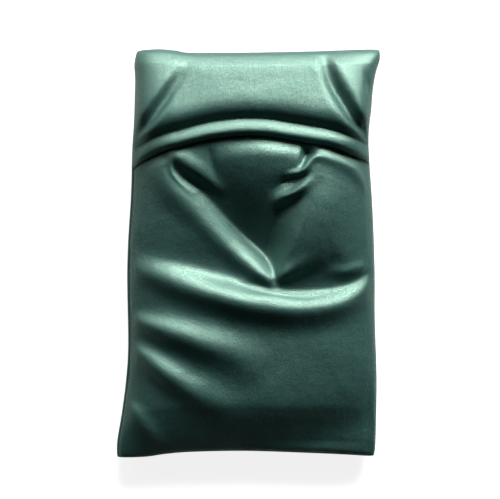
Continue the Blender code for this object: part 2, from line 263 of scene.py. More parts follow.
# %% Long panel's folds
LOWER_FOLDS = {
    "left ridge": [(-41, 60, 1.4, 5, 8), (-41.5, 48, 2, 6, 8), (-41.5, 39, 2.4, 6.5, 7.5),
        (-37, 31.5, 2.4, 7, 7), (-29.5, 24.5, 2.4, 9, 6.5), (-21.5, 16.5, 2.6, 10, 6),
        (-14, 8.5, 2.7, 10, 6), (-6.5, .8, 2.6, 9, 5.5), (1.5, -6, 2.2, 8, 4.8),
        (8, -11.5, 1.3, 5, 3.2), (12, -16, .6, 2, 2.2)],
    "line on the left ridge": [(-38.3, 50, .6, 1.2, 1.2), (-38.5, 44, .9, 1.3, 1.3),
        (-37, 39, 1, 1.3, 1.3), (-32.5, 34, .8, 1.3, 1.3), (-26, 29, .3, 1.5, 1.5)],
    "small left fold": [(-37, 54, 1.2, 5, 3), (-35.5, 48.5, 2.4, 5.5, 3), (-31, 44, 3, 5.5, 3.2),
        (-24, 39.2, 2.8, 5, 3.2), (-17.5, 34.5, 1.6, 3.5, 3), (-13, 31, .4, 2.5, 2.5)],
    "right ridge": [(36, 58, 2, 12, 8), (34, 48, 3, 15, 8), (33, 37, 4, 17, 9),
        (32, 27, 5.8, 18, 8.5), (29, 18, 6.8, 18, 8), (25.5, 9.5, 6.8, 17, 7.5),
        (22, 2, 5.8, 12, 6.5), (18.5, -4, 4, 7, 4.5), (16, -9, 1.6, 3.5, 2.5)],
    "opening": [(29.5, 57, -2, 3, 3), (30, 51.5, -5.5, 3.2, 3.2), (28, 47, -4, 2.2, 2.2),
        (26.2, 43, -2, 1.5, 1.5)],
    "rolled edge": [(18.5, 38, .8, 1.6, 1.6), (22, 39, 2, 1.8, 1.8), (25.5, 39.5, 2.2, 1.6, 1.8),
        (28, 42.5, 2.2, 1.4, 1.8), (29, 46, 2.2, 1.4, 2), (32, 48, 2, 1.6, 2.4),
        (36, 48.3, 1.4, 2, 3), (44, 46.5, 1.4, 2.5, 4), (51, 43, 1.6, 2.5, 4),
        (55.5, 37.5, 1.4, 2, 3.5), (59, 31, .5, 2, 3)],
    "tuck": [(13.5, 25, .8, 2.8, 3), (17, 27.3, 3.6, 2.8, 3), (21.5, 29.3, 4.4, 2.8, 2.8),
        (26, 32.5, 3, 2.6, 2.8), (30, 36, .5, 3, 3)],
    "spur": [(14.5, -12, 1.2, 3, 2.5), (19, -10, 3, 4, 3), (24, -7.5, 2.6, 4, 3.5), (30, -4, 1, 5, 4),
        (38, -2, .4, 6, 4)],
    "ridge above it": [(40, -9, .4, 3, 3), (49, -8.8, 1.2, 3, 3), (57, -7, .9, 3, 3)],
    "hollow left of the knot": [(-58, -.5, -.3, 6, 5), (-47, -1.5, -1, 10, 5), (-34, -4, -2.4, 14, 6),
        (-21, -8, -3.6, 14, 6), (-9, -11.8, -3.9, 10, 5.5), (1, -14.8, -3.2, 6, 5),
        (7.5, -16.7, -1.8, 3.5, 3.5), (12, -18, -.4, 2, 2)],
    "swell under the hem": [(-26, 42, .2, 7, 10), (-16, 45, 1, 7, 18), (-4, 47, 2.6, 7, 22),
        (10, 47.5, 4, 7, 26), (22, 45.5, 3, 7, 22), (32, 41, .8, 6, 8)],
    "crescent": [(-60, -6, .6, 6, 5), (-49, -10.2, 2, 7, 5.5), (-33, -16, 3.2, 8, 6.5),
        (-16.5, -20.8, 4.4, 8, 7), (-2.5, -24.6, 5, 8, 7), (13, -27, 5, 7.5, 7),
        (27, -27.4, 4.6, 7, 7), (42, -25.4, 4, 6.5, 6.5), (52.5, -21.4, 2.8, 5.5, 6),
        (60, -15, 1.2, 4, 5)],
    "crease along the crescent": [(-8, -12.6, -.1, .9, .9), (-3, -15.4, -.4, .9, .9),
        (4, -18.3, -.7, .9, .9), (17, -20.4, -.8, .9, .9), (28, -21.5, -.7, .9, .9),
        (38, -20.5, -.2, .9, .9)],
    "low left ridge": [(-60, -32, 1, 3, 3), (-52, -34.5, 2.6, 4.5, 4.5), (-40, -38.5, 3.8, 6, 6),
        (-27, -43, 4.2, 7.5, 7), (-13, -48, 3.6, 9, 8), (0, -53.5, 2.2, 11, 10),
        (10, -59, .7, 13, 12)],
    "left corner ridge": [(-60, -46, .8, 3, 3), (-52, -51, 2.6, 4.5, 4.5), (-42, -58.5, 3.6, 6, 5.5),
        (-31, -66, 3.4, 7, 6), (-20, -72.5, 2.2, 8, 7), (-10, -78, .7, 8, 8)],
    "swell of seed": [(-20, -80, .2, 8, 8), (0, -78, 1, 14, 9), (22, -76, 1.2, 16, 9),
        (42, -74, .6, 14, 9), (55, -72, .1, 8, 8)],
    "slack corner": [(4, -94, -.3, 14, 12), (20, -92, -1.2, 20, 12), (36, -88, -2.2, 22, 12),
        (50, -84, -2.6, 20, 12), (58, -80, -2, 16, 10)],
    "corner ridge": [(-61, -74, .5, 3, 3), (-56, -80, 1.6, 4, 4), (-50, -88, 1.6, 5, 5),
        (-45, -94, .5, 4, 4)],
}

# %% [markdown]
# ## Creases
# Where the slack turns back on itself it makes a crease and not a valley. Its power is near 1, and so
# its sides run straight into a sharp bottom line. The deepest one is the left side of the tongue.

# %% Long panel's creases
CREASE = 1.25  # the power of a crease, where a fold has 2
LOWER_CREASES = {
    "tongue": [(-38, 44, -.8, 6, 5), (-32, 38, -2.4, 9, 6), (-21.5, 29.5, -5.8, 16, 8.5),
        (-11.5, 18.5, -9.4, 18, 9.5), (-2, 9, -11.8, 18, 9.5), (6.5, 1, -11, 15, 8),
        (11, -5, -8, 11, 6), (13, -10.5, -4, 6, 4), (13.4, -15.5, -1, 2, 2)],
    "above the crescent": [(-36, -3, -.2, 5, 6), (-26, -5, -.3, 5, 6), (-15.5, -8.8, -.3, 5, 6),
        (-2, -13.4, -.6, 5, 6), (7, -16, -1.4, 5, 5.5), (13.4, -17.6, -2, 5.5, 5),
        (20, -18.2, -3, 9, 5.5), (27, -18.3, -3.8, 12, 6), (41, -17.3, -3.6, 12, 6),
        (51, -14.5, -2.4, 9, 5), (59.5, -8.5, -.8, 4, 3)],
    "under the roll": [(12, 31, -.6, 2.5, 2.5), (15, 34, -1.6, 2.5, 2), (19, 36, -2.4, 2.4, 1.8),
        (25, 36.8, -2.2, 2.2, 1.8), (29, 38.5, -.6, 1.5, 1.5)],
    "beside the small fold": [(-20, 54, -.4, 2, 3), (-17.8, 45, -1.2, 2, 3), (-16, 38, -.8, 2, 2.5),
        (-15, 34, -.2, 2, 2)],
}

# %% [markdown]
# ## The folds of the flap
# The flap is pulled down at its two sides, where it is sewn in. So a crease runs from each end of the
# hem up towards the top seam, with a soft ridge beside it.

# %% Flap's folds
FLAP_FOLDS = {
    "right crease": [(37.5, 99, -.2, 3, 3), (38.5, 92, -1.8, 3.5, 3), (42, 82, -3.4, 5, 3.2),
        (46.5, 74, -4.2, 5, 3.2), (51.5, 66, -4.2, 4.5, 3), (56, 60, -3.4, 4, 2.6),
        (60, 54, -2, 2.5, 2.5)],
    "ridge beside it": [(42, 98, .3, 4, 3), (44, 91, 1.2, 5, 3), (47, 83, 1.9, 6, 3),
        (52, 74.5, 2.1, 6, 3), (57, 67, 1.8, 5, 3), (60, 61, .9, 3, 2)],
    "left crease": [(-28, 97, -.1, 3, 3), (-32, 90, -.6, 3, 3), (-38.5, 79, -1.8, 2.4, 3.6),
        (-44, 71, -2.6, 2.4, 3.6), (-51, 62, -2.8, 2.4, 3.4), (-56.5, 55, -1.6, 2.2, 2.6)],
    "small right crease": [(57.5, 90, -.2, 1.5, 1.5), (58.6, 85.6, -1, 1.5, 1.5),
        (59.6, 81, -1.2, 1.5, 1.5), (60.6, 77.5, -.3, 1.5, 1.5)],
    "ridge on the left": [(-36, 93, .3, 3, 6), (-43, 82.5, 1.1, 3, 10), (-48.5, 74.5, 1.4, 3, 10),
        (-55, 66, 1, 3, 7), (-59, 60, .4, 3, 4)],
}

# %% [markdown]
# ## The flap's free edge and what lies under it
# The free edge is an arch, highest in the middle. The long panel dips as it goes under the flap, and
# its folds fade there, because the flap presses them flat.

# %% Free edge
FREE_EDGE = [  # x, and how far the edge falls below its middle
    (-70, 22.0), (-60, 16.4), (-50, 11.6), (-40, 7.5), (-30, 4.1), (-20, 1.7), (-10, 0.4), (0, 0.0),
    (10, 0.6), (20, 2.3), (30, 4.1), (40, 6.1), (50, 9.5), (60, 13.8), (70, 19.5),
]


def flap_edge(x):
    """The middle's place less the fall that the table gives, which makes a slightly lopsided arch."""
    return FLAP_EDGE - read_curve(FREE_EDGE, x)


PRESSED = 0.85  # the share of the folds that the flap takes away
DIP = 2.4  # how far the long panel sinks under the hem


def lower_height(x, y, u, v):
    """Crown, plus folds that fade near the seams and under the flap, less the dip under the hem."""
    above = y - flap_edge(x)
    fade = inner_share(u, v) * (1 - PRESSED * ease((above + 7) / 8))
    dip = DIP * ease((above + 1.5) / 5) * inner_share(u, np.zeros_like(v), 0.1)
    shape = folds(x, y, LOWER_FOLDS) + folds(x, y, LOWER_CREASES, CREASE)
    return crown(u, v) + shape * fade - dip


# %% [markdown]
# ## From arrays to meshes
# Every panel is a grid. The helper takes its three coordinates as whole arrays, numbers the corners of
# the four-sided faces with array arithmetic, and gives the mesh a cloth map, the UV map in metres of
# flat cloth. The pile and the weave are drawn on that map, so they bend with the cloth.


# %% Mesh helpers
def add_object(name, data):
    obj = bpy.data.objects.new(name, data)
    bpy.context.scene.collection.objects.link(obj)
    return obj


def make_mesh(name, points, faces, cloth=None):
    """An object from places in millimetres and a list of face arrays, one row of vertex numbers to a
    face. The cloth map, if there is one, has a place for each vertex."""
    corners = np.concatenate([part.ravel() for part in faces]).astype(np.int32)
    sizes = np.concatenate([np.full(len(part), part.shape[1]) for part in faces])
    mesh = bpy.data.meshes.new(name)
    mesh.vertices.add(points.size // 3)
    mesh.vertices.foreach_set("co", (points * MM).astype(np.float32).ravel())
    mesh.loops.add(corners.size)
    mesh.loops.foreach_set("vertex_index", corners)
    mesh.polygons.add(sizes.size)
    mesh.polygons.foreach_set("loop_start", (np.cumsum(sizes) - sizes).astype(np.int32))
    mesh.update(calc_edges=True)
    if cloth is not None:
        places = (cloth.reshape(-1, 2)[corners] * MM).astype(np.float32)
        mesh.uv_layers.new(name="cloth").data.foreach_set("uv", places.ravel())
    mesh.shade_smooth()
    mesh.validate()
    return add_object(name, mesh)


def grid_mesh(name, points, cloth=None, ring=False):
    """A sheet from an array of the shape (rows, columns, 3). A face joins (r, c), (r, c + 1),
    (r + 1, c + 1) and (r + 1, c). If its rows are rings it is a tube, and a face closes each end."""
    number = np.arange(points.size // 3).reshape(points.shape[:2])
    grid = np.hstack([number, number[:, :1]]) if ring else number
    quads = np.stack([grid[:-1, :-1], grid[:-1, 1:], grid[1:, 1:], grid[1:, :-1]], axis=-1)
    ends = [number[:1, ::-1], number[-1:]] if ring else []
    return make_mesh(name, points, [quads.reshape(-1, 4), *ends], cloth)


def thicken(obj, thickness):
    """Gives an open sheet its thickness, on the side away from its face."""
    solidify = obj.modifiers.new("thickness", "SOLIDIFY")
    solidify.thickness = thickness * MM
    solidify.offset = -1.0
    return obj


def dress(piece, material):
    """Gives a piece its material, and says what was made."""
    piece.data.materials.append(material)
    print(piece.name, len(piece.data.polygons), "faces")
    return piece


# %% [markdown]
# ## The turn into the seam
# At a sewn edge the cloth rolls inwards and runs on for 7 mm as the seam allowance. So a panel's grid
# is a little larger than the panel: past 1, a place stands for the roll, a quarter circle, and then for
# the flat allowance. Two such rolls face to face leave the groove that every sewn edge shows.

# %% Seam turn
ALLOWANCE = 7.0
TURN = 0.10  # how far past 1 the grid goes
SEAM_SPACE = 0.2  # half the space between the two allowances, for the thread
ROLL_SHARE = 0.55  # the roll's share of the turn, and the rest is the flat allowance
TURN_PLACES = 1 + TURN * np.array([0.14, 0.28, 0.42, 0.55, 0.78, 1.0])
CORNER_ONLY = 30  # a power so high that it lets a pull act at the corner and nowhere else


def spaced(count, high=True, crowd=0.55):
    """Places from -1 to 1 that crowd towards the ends, with the turn's places beyond each sewn end."""
    t = np.linspace(-1, 1, count)
    places = (1 - crowd) * t + crowd * np.sin(t * math.pi / 2)
    return np.concatenate([-TURN_PLACES[::-1], places, TURN_PLACES if high else []])


def pulled(own, other):
    """The share of the inset that a place takes: all of it past its own edge, and past the other edge
    only what the corner needs."""
    corner = np.abs(np.clip(own, -1, 1)) ** CORNER_ONLY
    return np.where(np.abs(own) > 1, 1, np.where(np.abs(other) > 1, corner, 0))


def turned(u, v, height, face, insets=(0, 0, 0, 0), level=None, outline=plan,
           roll=ROLL, allowance=ALLOWANCE):
    """Places and heights of a panel with its turned edges. Past 1, with t from 0 to 1 along the roll,
    the inset grows as roll (1 - cos) and the height falls to the seam as sin; then the inset grows to
    the allowance. face is 1 for a panel above the seam and -1 for one below it, and insets move the
    left, right, bottom and top edges in."""
    over = np.maximum(np.abs(u), np.abs(v)) - 1
    share = np.clip(over / TURN, 0, 1)
    quarter = np.clip(share / ROLL_SHARE, 0, 1) * math.pi / 2
    flat = np.clip((share - ROLL_SHARE) / (1 - ROLL_SHARE), 0, 1)
    inset = roll * (1 - np.cos(quarter)) + (allowance - roll) * flat
    cu, cv = np.clip(u, -1, 1), np.clip(v, -1, 1)
    x, y = outline(cu, cv)
    left, right, bottom, top = insets
    x = x + left * (1 - cu) / 2 - right * (1 + cu) / 2
    y = y + bottom * (1 - cv) / 2 - top * (1 + cv) / 2
    z = height(x, y, cu, cv)
    level = SEAM + face * SEAM_SPACE if level is None else level(x, y)
    z = np.where(over > 0, z + (level - z) * np.sin(quarter), z)
    x = x - np.sign(u) * pulled(u, v) * inset
    y = y - np.sign(v) * pulled(v, u) * inset
    return np.stack([x, y, z], axis=-1)


def normals_of(surface):
    """The unit cross product of the steps along a row and along a column."""
    across, along = np.gradient(surface, axis=1), np.gradient(surface, axis=0)
    normal = np.cross(across, along)
    return normal / np.maximum(np.linalg.norm(normal, axis=-1, keepdims=True), 1e-9)


# %% [markdown]
# ## Nodes for cloth
# A material is a small chain of nodes. Each helper makes one node from what feeds it and returns its
# output, so a chain reads as one call inside another. All distances in the bumps are in metres.


# %% Node helpers
def new_material(name):
    """A material, its node tree and its shader."""
    material = bpy.data.materials.new(name)
    material.use_nodes = True
    return material, material.node_tree, material.node_tree.nodes["Principled BSDF"]


def feed(node, inputs):
    """Each input takes a plain value, or a link where the value is another node's output."""
    for key, value in inputs.items():
        if isinstance(value, bpy.types.NodeSocket):
            node.id_data.links.new(value, node.inputs[key])
        else:
            node.inputs[key].default_value = value
    return node


def after(socket, kind, inputs):
    """A new node of the kind in the socket's own tree, fed with its inputs."""
    return feed(socket.id_data.nodes.new("ShaderNode" + kind), inputs)


def noise(vector, scale, detail, roughness):
    inputs = {"Vector": vector, "Scale": scale, "Detail": detail, "Roughness": roughness}
    return after(vector, "TexNoise", inputs).outputs["Fac"]


def wave(vector, direction, scale, distortion, detail):
    inputs = {"Vector": vector, "Scale": scale, "Distortion": distortion, "Detail": detail}
    node = after(vector, "TexWave", inputs)
    node.bands_direction = direction
    return node.outputs["Fac"]


def ramp(fac, stops):
    node = after(fac, "ValToRGB", {"Fac": fac})
    elements = node.color_ramp.elements
    while len(elements) < len(stops):
        elements.new(0.5)
    for element, (place, colour) in zip(elements, stops):
        element.position = place
        element.color = (*colour, 1.0)
    return node.outputs["Color"]


def to_range(value, low, high, from_low=0.0, from_high=1.0):
    limits = {"To Min": low, "To Max": high, "From Min": from_low, "From Max": from_high}
    return after(value, "MapRange", {"Value": value, **limits}).outputs["Result"]


def combine(operation, *values):
    """A Math node, where MULTIPLY_ADD gives the first times the second plus the third."""
    node = after(values[0], "Math", dict(enumerate(values)))
    node.operation = operation
    return node.outputs[0]


def stretched(vector, scale, turn=0.0):
    inputs = {"Vector": vector, "Scale": scale, "Rotation": (0, 0, turn)}
    return after(vector, "Mapping", inputs).outputs["Vector"]


def bump(height, distance, strength, below=None):
    inputs = {"Height": height, "Distance": distance, "Strength": strength}
    if below:
        inputs["Normal"] = below
    return after(height, "Bump", inputs).outputs["Normal"]


def cloth_map(tree):
    node = tree.nodes.new("ShaderNodeUVMap")
    node.uv_map = "cloth"
    return node.outputs["UV"]


def object_map(tree):
    return tree.nodes.new("ShaderNodeTexCoord").outputs["Object"]


# %% [markdown]
# ## Velvet
# Velvet is dark because light falls in between its upright pile, and bright where the pile leans to
# the light. A dark base with a strong tinted reflection over a medium roughness does that, and sheen
# adds the pale rim that pile shows at a grazing look. Noise stretched along the pile gives the brushed
# streaks. A fine speckle in the roughness, and a finer one in the bump, give each tuft its own glint.


# %% Velvet material
def velvet(name, dark, mid):
    material, tree, shader = new_material(name)
    cloth = cloth_map(tree)
    streaks = noise(stretched(cloth, (1.0, 0.45, 1.0), 0.12), 1500, 4, 0.6)
    patches = noise(cloth, 55, 3, 0.5)
    speckle = noise(cloth, 1300, 3, 0.75)
    tufts = noise(cloth, 2600, 2, 0.7)
    tone = combine("MULTIPLY_ADD", streaks, 0.55, to_range(patches, 0.0, 0.45))
    glints = to_range(speckle, 0.02, 0.42, 0.36, 0.64)
    lie = bump(speckle, 0.00018, 0.5, bump(patches, 0.0018, 0.4))
    brushed = bump(streaks, 0.00025, 0.35, lie)
    feed(shader, {
        "Base Color": ramp(tone, [(0.25, dark), (0.75, mid)]),
        "Roughness": combine("ADD", to_range(patches, 0.23, 0.31), glints),
        "Normal": bump(tufts, 0.00016, 0.5, brushed),
        "IOR": 1.8, "Specular IOR Level": 1.0, "Specular Tint": (0.62, 0.95, 0.76, 1.0),
        "Sheen Weight": 0.08, "Sheen Roughness": 0.35, "Sheen Tint": (0.50, 0.90, 0.74, 1.0),
    })
    return material


VELVET_FACE = velvet("green_velvet", (0.001, 0.022, 0.023), (0.006, 0.058, 0.058))
print(VELVET_FACE.name, len(VELVET_FACE.node_tree.nodes), "nodes")

# %% [markdown]
# ## Front panel
# The good side lies on the table. It is flat in the middle, where the weight presses it, and turns up
# to the seam all round.

# %% Front panel
FLAT_SHARE = 0.62  # how much of the way to the edge lies flat


def front_height(x, y, u, v):
    """0 on the table, then the rise 1 - sqrt(1 - t^2.6) of a round edge, with t from 0 to 1 over the
    outer part, towards u or v, whichever is nearer its edge."""
    t = np.clip((np.maximum(np.abs(u), np.abs(v) ** 1.6) - FLAT_SHARE) / (1 - FLAT_SHARE), 0, 1)
    return (SEAM - ROLL) * (1 - np.sqrt(1 - t**2.6))


def cloth_of(u, v):
    """The cloth map of a panel: its places times the half sizes of the cover."""
    return np.stack([u * HALF_WIDTH, v * HALF_LENGTH], axis=-1)


u, v = np.meshgrid(spaced(110), spaced(160))
surface = turned(u, v, front_height, -1)[::-1]  # rows in reverse, so that the face looks down
front = thicken(grid_mesh("front_panel_velvet", surface, cloth_of(u, v)[::-1]), VELVET)
dress(front, VELVET_FACE)

# %% [markdown]
# ## Long panel
# The long panel shows most of the folds. It ends in a hem of its own under the flap, where it is a
# little narrower than the flap is, so that the flap's sides close over it.

# %% Long panel
LOWER_INSETS = (1.4, 0.5, 0.4, 0)
HEM_UNDER = [  # distance in from the hemmed end, depth under the face
    (0.0, 0.0), (-0.5, 0.5), (-0.7, 1.2), (-0.5, 1.9), (0.0, 2.4), (2.0, 2.5), (5.0, 2.5), (8.0, 2.5),
]
DRAWN_IN = 0.035  # the share of its width that it loses under the flap
FLAP_LAYER = 1.15  # what the flap's allowance adds below its own


def lower_plan(u, v):
    """The outline, drawn in under the flap."""
    x, y = plan(u, v)
    return x * (1 - DRAWN_IN * ease((y - flap_edge(x) - 0.5) / 6)), y


def lower_level(x, y):
    """At the sides the flap's allowance lies between the front panel's and the long panel's."""
    return SEAM + SEAM_SPACE + FLAP_LAYER * ease((y - flap_edge(x) + 2) / 6)


hem_back, hem_drop = np.array(HEM_UNDER).T
lower_along = spaced(208, high=False, crowd=0.25)
share = (LOWER_END / HALF_LENGTH + 1) / 2
lower_along = np.where(lower_along < -1, lower_along, -1 + (lower_along + 1) * share)
lower_along = np.concatenate([lower_along, (LOWER_END - hem_back[1:]) / HALF_LENGTH])
drop = np.concatenate([np.zeros(len(lower_along) - len(hem_drop) + 1), hem_drop[1:]])
u, v = np.meshgrid(spaced(166, crowd=0.35), lower_along)


def hemmed_height(x, y, u, v):
    return lower_height(x, y, u, v) - drop[:, None]


lower_surface = turned(u, v, hemmed_height, 1, LOWER_INSETS, lower_level, lower_plan)
lower_normals = normals_of(lower_surface)
lower = thicken(grid_mesh("lower_panel_velvet", lower_surface, cloth_of(u, v)), VELVET)
dress(lower, VELVET_FACE)

# %% [markdown]
# ## Flap
# The flap is one section carried across the pillow. The section starts at the folded-under end of the
# hem, goes round the hem's roll, dips where the stitches hold it, swells, and runs on to the top seam.

# %% Flap
HEM_SECTION = [  # distance in from the free edge, height over the crown
    (10.5, -1.35), (8.7, -1.35), (6.0, -1.35), (3.2, -1.35), (1.2, -1.15), (0.2, -0.4), (0.0, 0.5),
    (0.4, 1.5), (1.3, 2.5), (2.6, 3.1), (4.0, 2.9), (5.5, 2.3), (7.0, 1.4), (8.0, 0.8), (8.7, 0.5),
    (9.6, 0.9), (11, 2.1), (13, 3.5), (15.5, 4.3), (18.5, 4.5), (22, 4.2),
]
STITCH_LINE = 8.7  # the groove's distance from the free edge
HEM_ROWS, FACE_ROWS = 54, 74
FLAP_INSETS = (0.6, 0.2, 0, 0.2)
FOLD_DRAWN_IN = 0.03  # the share of its width that the folded-under layer loses, to end inside the face
FACE_SECTION = [(18.5, 4.5), (22, 4.2), (28, 3.5), (36, 2.8), (46, 2.2), (70, 2.0)]


def flap_grid(across, section_rows, face_rows):
    """Rows of the hem's section, then rows of the face. A column at u meets the free edge where
    y is flap_edge(x); the section is laid off from there, and the face goes on to the top seam.
    Returns u, v and the lift over the crown."""
    section = smooth_path(HEM_SECTION, section_rows)
    rest = np.linspace(0, 1, face_rows + 1)[1:]
    rest = 0.5 * rest + 0.5 * np.sin(rest * math.pi / 2)
    cu = np.clip(across, -1, 1)[None, :]
    x = cu * 0.93 * HALF_WIDTH  # a first guess, which each round brings nearer
    for _ in range(4):
        edge = flap_edge(x)
        left, right = side_at(edge, -1), side_at(edge, 1)
        x = left + (right - left) * (cu + 1) / 2
    edge = flap_edge(x)
    start = (edge + section[-1, 0]) / HALF_LENGTH
    face = start + (1 - start) * rest[:, None]
    one = np.ones_like(cu)
    turn = TURN_PLACES[:, None] * one
    v = np.concatenate([(edge + section[:, :1]) / HALF_LENGTH, face, turn])
    face_lift = read_curve(FACE_SECTION, face * HALF_LENGTH - edge)
    lift = np.concatenate([section[:, 1:] * one, face_lift, np.full_like(turn, FACE_SECTION[-1][1])])
    return np.repeat(across[None, :], len(v), axis=0), v, lift


def flap_height(lift):
    """The crown, the section's lift, which dies out at the sides and the top, and the creases."""
    def height(x, y, u, v):
        side = np.sqrt(1 - np.abs(u).clip(0, 1) ** 8)
        edge = (0.45 + 0.55 * side) * np.sqrt(np.clip((1 - v) / 0.08, 0, 1))
        above = y - flap_edge(x)
        crease = folds(x, y, FLAP_FOLDS) * ease((above - 8) / 8) * inner_share(u, v, 0.05)
        return crown(u, v) + lift * edge + crease
    return height


u, v, lift = flap_grid(spaced(168, crowd=0.35), HEM_ROWS, FACE_ROWS)
flap_surface = turned(u, v, flap_height(lift), 1, FLAP_INSETS)
flap_surface[..., 0] *= 1 - FOLD_DRAWN_IN * ease((0.4 - lift) / 1.5)
flap_normals = normals_of(flap_surface)
step = np.linalg.norm(np.diff(flap_surface, axis=0, prepend=flap_surface[:1]), axis=-1)
cloth = np.stack([u * HALF_WIDTH, np.cumsum(step, axis=0)], axis=-1)
flap = dress(thicken(grid_mesh("flap_velvet", flap_surface, cloth), VELVET), VELVET_FACE)

# %% [markdown]
# ## Stitches
# A machine stitch is a short length of thread that lies on the cloth and dives into it at both ends. A
# run of them is one mesh. Each stitch is a thin spindle of a few faces along the path, bowed up in
# its middle, and its ends sit below the surface.


# %% Stitch run
def lengths(path):
    """How far each point lies along a polyline, from its first three columns."""
    step = np.linalg.norm(np.diff(path[:, :3], axis=0), axis=1)
    return np.concatenate([[0], np.cumsum(step)])


def read_along(path, s):
    """A polyline's columns read at the distances s along it."""
    return np.stack([np.interp(s, lengths(path), column) for column in path.T], axis=-1)


SIDES, RINGS = 5, 5


def spindles(name, centre, way, up, half, radius, rise):
    """One spindle for each centre. At t from -1 to 1 along it, the place is centre + half t way +
    (rise (1 - t^2) - radius t^2) up, and the radius is radius sqrt(1 - t^4)."""
    t = np.linspace(-1, 1, RINGS)[None, :, None, None]
    angle = np.linspace(0, 2 * math.pi, SIDES, endpoint=False)[None, None, :, None]
    way, up, centre = way[:, None, None, :], up[:, None, None, :], centre[:, None, None, :]
    aside = np.cross(way, up)
    thick = radius * np.sqrt(np.maximum(1 - t**4, 0.02))
    points = centre + half * t * way + (rise * (1 - t**2) - radius * t**2) * up
    points = points + thick * (np.cos(angle) * up + np.sin(angle) * aside)
    number = np.arange(points.size // 3).reshape(-1, RINGS, SIDES)
    beside = np.roll(number, -1, axis=2)
    quads = np.stack([number[:, 1:], beside[:, 1:], beside[:, :-1], number[:, :-1]], axis=-1)
    return make_mesh(name, points, [quads.reshape(-1, 4), number[:, 0], number[:, -1, ::-1]])


def stitch_run(name, path, up, stitch=2.4, gap=0.5, radius=0.2, rise=0.05):
    """Stitches end to end along a polyline, each as long as stitch with a gap before the next."""
    line = np.hstack([path, up])
    middle = np.arange(stitch / 2 + gap, lengths(line)[-1] - stitch / 2, stitch + gap)
    here = read_along(line, middle)
    way = (read_along(line, middle + 0.3) - read_along(line, middle - 0.3))[:, :3]
    way /= np.maximum(np.linalg.norm(way, axis=1, keepdims=True), 1e-9)
    normal = here[:, 3:] / np.linalg.norm(here[:, 3:], axis=1, keepdims=True)
    return spindles(name, here[:, :3], way, normal, stitch / 2, radius, rise)


# %% [markdown]
# ## Thread
# Polyester sewing thread is two fine plies twisted together. A wave texture that runs slantwise round
# the thread gives the twist, and a little noise gives the stray fibres.


# %% Thread material
def thread(name, dark, light):
    material, tree, shader = new_material(name)
    place = object_map(tree)
    plies = wave(place, "DIAGONAL", 900, 1.5, 2.0)
    fibres = noise(place, 3000, 3, 0.6)
    feed(shader, {
        "Base Color": ramp(plies, [(0.1, dark), (0.9, light)]),
        "Roughness": to_range(fibres, 0.45, 0.7),
        "Normal": bump(fibres, 0.00005, 0.5, bump(plies, 0.0001, 0.6)),
        "Sheen Weight": 0.15,
    })
    return material


GREEN_THREAD = thread("green_polyester_thread", (0.004, 0.022, 0.018), (0.02, 0.07, 0.055))
PALE_THREAD = thread("pale_cotton_thread", (0.55, 0.50, 0.42), (0.80, 0.76, 0.68))
print(GREEN_THREAD.name, "and", PALE_THREAD.name)

# %% [markdown]
# ## Hem stitches
# The needle's stitches lie in the groove that they pull into the flap, and the bobbin's lie under it.
# The long panel's hem has the same two runs.

# %% Hem stitches
hem_distance = smooth_path(HEM_SECTION, HEM_ROWS)[:, 0]
roll_front = int(np.argmin(hem_distance))
under = int(np.argmin(np.abs(hem_distance[:roll_front] - STITCH_LINE)))
groove = roll_front + int(np.argmin(np.abs(hem_distance[roll_front:] - STITCH_LINE)))
LOWER_STITCH_LINE = 6.0
rows_before_end = lower_along[: 1 - len(HEM_UNDER)]
hem_row = int(np.argmin(np.abs(rows_before_end - (LOWER_END - LOWER_STITCH_LINE) / HALF_LENGTH)))
inside = slice(8, -8)  # the columns clear of the side seams
flap_needle, flap_bobbin, lower_needle, lower_bobbin = [
    dress(stitch_run(name, surface[row, inside], normals[row, inside], rise=rise), GREEN_THREAD)
    for name, surface, normals, row, rise in (
        ("flap_hem_needle_stitches", flap_surface, flap_normals, groove, 0.05),
        ("flap_hem_bobbin_stitches", flap_surface, flap_normals, under, 0.02),
        ("lower_hem_needle_stitches", lower_surface, lower_normals, hem_row, 0.05),
        ("lower_hem_bobbin_stitches", lower_surface, lower_normals, -2, 0.02),
    )
]

# %% [markdown]
# ## Seam stitches and overlocked edges
# The three panels are joined by one line of lockstitch round the cover. The raw edges of each pair of
# allowances are overlocked, so that the velvet doesn't shed: a thread loops round both edges again and
# again. Such a loop is a flattened helix.


# %% Seam lines
INWARD = {"left": (1, 0, 0), "right": (-1, 0, 0), "bottom": (0, 1, 0), "top": (0, -1, 0)}


def seam_line(side, inset, z, outline=plan, count=160, reach=0.93):
    """An outline's edge on one side, moved in by the inset, at the height z."""
    t = np.linspace(-reach, reach, count)
    across, along, _ = INWARD[side]
    x, y = outline(*[np.full(count, -place) if place else t for place in (across, along)])
    return np.stack([x + across * inset, y + along * inset, np.full(count, z)], axis=-1)


def tube(name, path, radius, sides):
    """A round thread along a polyline: path + radius (cos a * one normal + sin a * the other)."""
    way = np.gradient(path, axis=0)
    way /= np.linalg.norm(way, axis=1, keepdims=True)
    one = np.cross(way, np.array([0.3, 0.2, 0.93]))
    one /= np.linalg.norm(one, axis=1, keepdims=True)
    two = np.cross(way, one)
    angle = np.linspace(0, 2 * math.pi, sides, endpoint=False)[None, :, None]
    points = path[:, None] + radius * (np.cos(angle) * one[:, None] + np.sin(angle) * two[:, None])
    return grid_mesh(name, points, ring=True)


UP = np.array([0.0, 0.0, 1.0])
PITCH, LOOP_WIDTH, LOOP_SAMPLES, LOOP_THREAD = 3.0, 2.6, 9, 0.13  # of the overlocked edge


